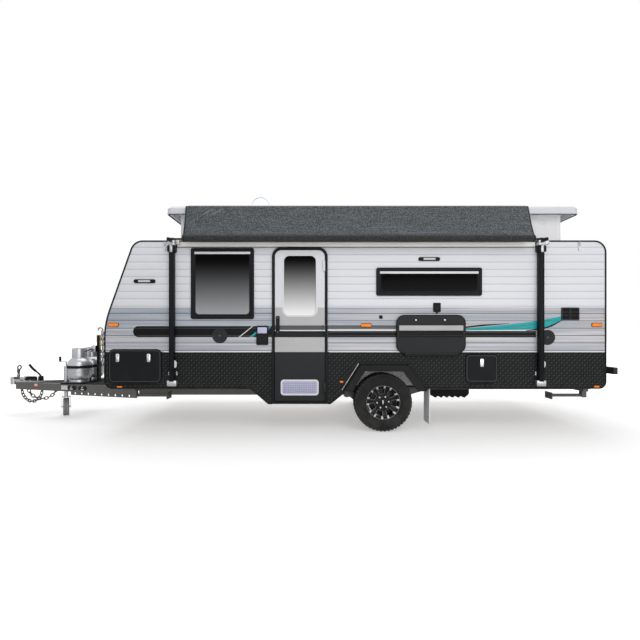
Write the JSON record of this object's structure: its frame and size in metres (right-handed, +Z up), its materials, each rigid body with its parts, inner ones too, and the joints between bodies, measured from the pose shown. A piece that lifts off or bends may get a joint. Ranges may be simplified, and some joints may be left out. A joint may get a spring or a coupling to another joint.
{
  "type": "travel caravan",
  "caption": "Travel caravan with a raised pop-top roof, ribbed white body over black chequer-plate skirts, side awning, drawbar with jockey wheel and gas bottles",
  "frame": {"origin": "On the ground under the middle of the overall length and width", "axes": "+X runs from the coupling to the rear, +Y from the door side to the far side, +Z up"},
  "size_m": [8.025, 2.5789, 2.88],
  "materials": {
    "chassis_steel": "satin",
    "galvanised": "dull zinc",
    "black_trim": "satin",
    "rubber": "matte",
    "bottle_silver": "satin",
    "white_cladding": "gloss",
    "white_gloss": "gloss",
    "floor_ply": "sealed",
    "lining_white": "matte",
    "chequer_black": "semi-gloss",
    "black_frame": "powder coat",
    "tinted_pane": "dark tint",
    "vent_white": "gloss",
    "table_grey": "satin",
    "tyre": "matte",
    "alloy_black": "gloss black",
    "tank_black": "matte",
    "flap_white": "matte",
    "red_lens": "clear lens",
    "amber_lens": "clear lens",
    "awning_cloth": "mottled vinyl",
    "canvas": "coated canvas"
  },
  "bodies": {
    "van_body": {"chassis_rail_kerb": "chassis_steel", "chassis_rail_road": "chassis_steel", "cross_members": "chassis_steel", "drawbar_rail_kerb": "chassis_steel", "drawbar_rail_road": "chassis_steel", "coupling": "galvanised", "handbrake_lever": "black_trim", "jockey_clamp": "galvanised", "safety_chains": "galvanised", "gas_bottles": "bottle_silver", "gas_tray": "chassis_steel", "wall_front": "white_cladding", "wall_rear": "white_cladding", "roof_ring": "white_gloss", "floor": "floor_ply", "boot_panels": "lining_white", "wheel_boxes": "galvanised", "wall_kerb": "white_cladding", "skirt_kerb": "chequer_black", "wall_road": "white_cladding", "skirt_road": "chequer_black", "arch_flares": "black_trim", "window_frames": "black_frame", "window_panes": "tinted_pane", "door_frame": "black_frame", "hatch_hinges": "black_frame", "trailing_arms": "chassis_steel", "air_springs": "rubber", "water_tank": "tank_black", "mud_flaps": "flap_white", "rear_bumper": "chassis_steel", "tail_lamps": "red_lens", "marker_lamps": "amber_lens", "wall_fittings": "black_trim", "awning_arms": "black_frame", "awning_roller": "awning_cloth", "awning_sheet": "awning_cloth", "curtain": "canvas"},
    "roof": {"roof_shell": "white_gloss", "roof_fittings": "white_gloss"},
    "door": {"entry_door": "white_cladding", "door_pane": "tinted_pane", "door_vent": "vent_white", "door_handle": "black_trim"},
    "boot_hatch_near": {"boot_hatch_kerb": "chequer_black"},
    "boot_hatch_far": {"boot_hatch_road": "chequer_black"},
    "locker": {"locker_hatch": "chequer_black"},
    "table": {"picnic_table": "table_grey"},
    "leg_fk": {"leg_front_kerb": "galvanised"},
    "leg_fr": {"leg_front_road": "galvanised"},
    "leg_rk": {"leg_rear_kerb": "galvanised"},
    "leg_rr": {"leg_rear_road": "galvanised"},
    "wheel_near": {"tyre_kerb": "tyre", "rim_kerb": "alloy_black"},
    "wheel_far": {"tyre_road": "tyre", "rim_road": "alloy_black"},
    "jockey_stem": {"jockey_leg": "galvanised"},
    "jockey_yoke": {"jockey_fork": "galvanised"},
    "jockey_roller": {"jockey_wheel": "rubber"}
  },
  "joints": [
    {"name": "wheel_near_spin", "type": "hinge", "parent": "van_body", "child": "wheel_near", "pos_m": [1.2005, -0.937, 0.348], "axis": [0, 1, 0], "continuous": true},
    {"name": "wheel_far_spin", "type": "hinge", "parent": "van_body", "child": "wheel_far", "pos_m": [1.2005, 1.078, 0.348], "axis": [0, 1, 0], "continuous": true},
    {"name": "jockey_wind", "type": "slide", "parent": "van_body", "child": "jockey_stem", "axis": [0, 0, 1], "range_m": [0, 0.115]},
    {"name": "jockey_swivel", "type": "hinge", "parent": "jockey_stem", "child": "jockey_yoke", "pos_m": [-3.1375, -0.05946, 0.25], "axis": [0, 0, 1], "continuous": true},
    {"name": "jockey_spin", "type": "hinge", "parent": "jockey_yoke", "child": "jockey_roller", "pos_m": [-3.1575, -0.02482, 0.125], "axis": [0.866, 0.5, 0], "continuous": true},
    {"name": "roof_lift", "type": "slide", "parent": "van_body", "child": "roof", "axis": [0, 0, 1], "range_m": [-0.33, 0], "deforming": ["curtain", "awning_sheet"]},
    {"name": "door_swing", "type": "hinge", "parent": "van_body", "child": "door", "pos_m": [0.5145, -1.109, 1.2], "axis": [0, 0, 1], "range_deg": [0, 170]},
    {"name": "boot_near_drop", "type": "hinge", "parent": "van_body", "child": "boot_hatch_near", "pos_m": [-1.7225, -1.0955, 0.583], "axis": [1, 0, 0], "range_deg": [0, 170]},
    {"name": "boot_far_drop", "type": "hinge", "parent": "van_body", "child": "boot_hatch_far", "pos_m": [-1.7225, 1.2365, 0.583], "axis": [-1, 0, 0], "range_deg": [0, 170]},
    {"name": "locker_drop", "type": "hinge", "parent": "van_body", "child": "locker", "pos_m": [2.3465, -1.0955, 0.587], "axis": [1, 0, 0], "range_deg": [0, 170]},
    {"name": "table_fold", "type": "hinge", "parent": "van_body", "child": "table", "pos_m": [1.7455, -1.1195, 0.93], "axis": [1, 0, 0], "range_deg": [0, 90]},
    {"name": "leg_front_kerb_drop", "type": "hinge", "parent": "van_body", "child": "leg_fk", "pos_m": [-1.7975, -0.9095, 0.42], "axis": [0, 1, 0], "range_deg": [0, 75]},
    {"name": "leg_front_road_drop", "type": "hinge", "parent": "van_body", "child": "leg_fr", "pos_m": [-1.7975, 1.0505, 0.42], "axis": [0, 1, 0], "range_deg": [0, 75]},
    {"name": "leg_rear_kerb_drop", "type": "hinge", "parent": "van_body", "child": "leg_rk", "pos_m": [3.6425, -0.9095, 0.42], "axis": [0, -1, 0], "range_deg": [0, 75]},
    {"name": "leg_rear_road_drop", "type": "hinge", "parent": "van_body", "child": "leg_rr", "pos_m": [3.6425, 1.0505, 0.42], "axis": [0, -1, 0], "range_deg": [0, 75]}
  ]
}
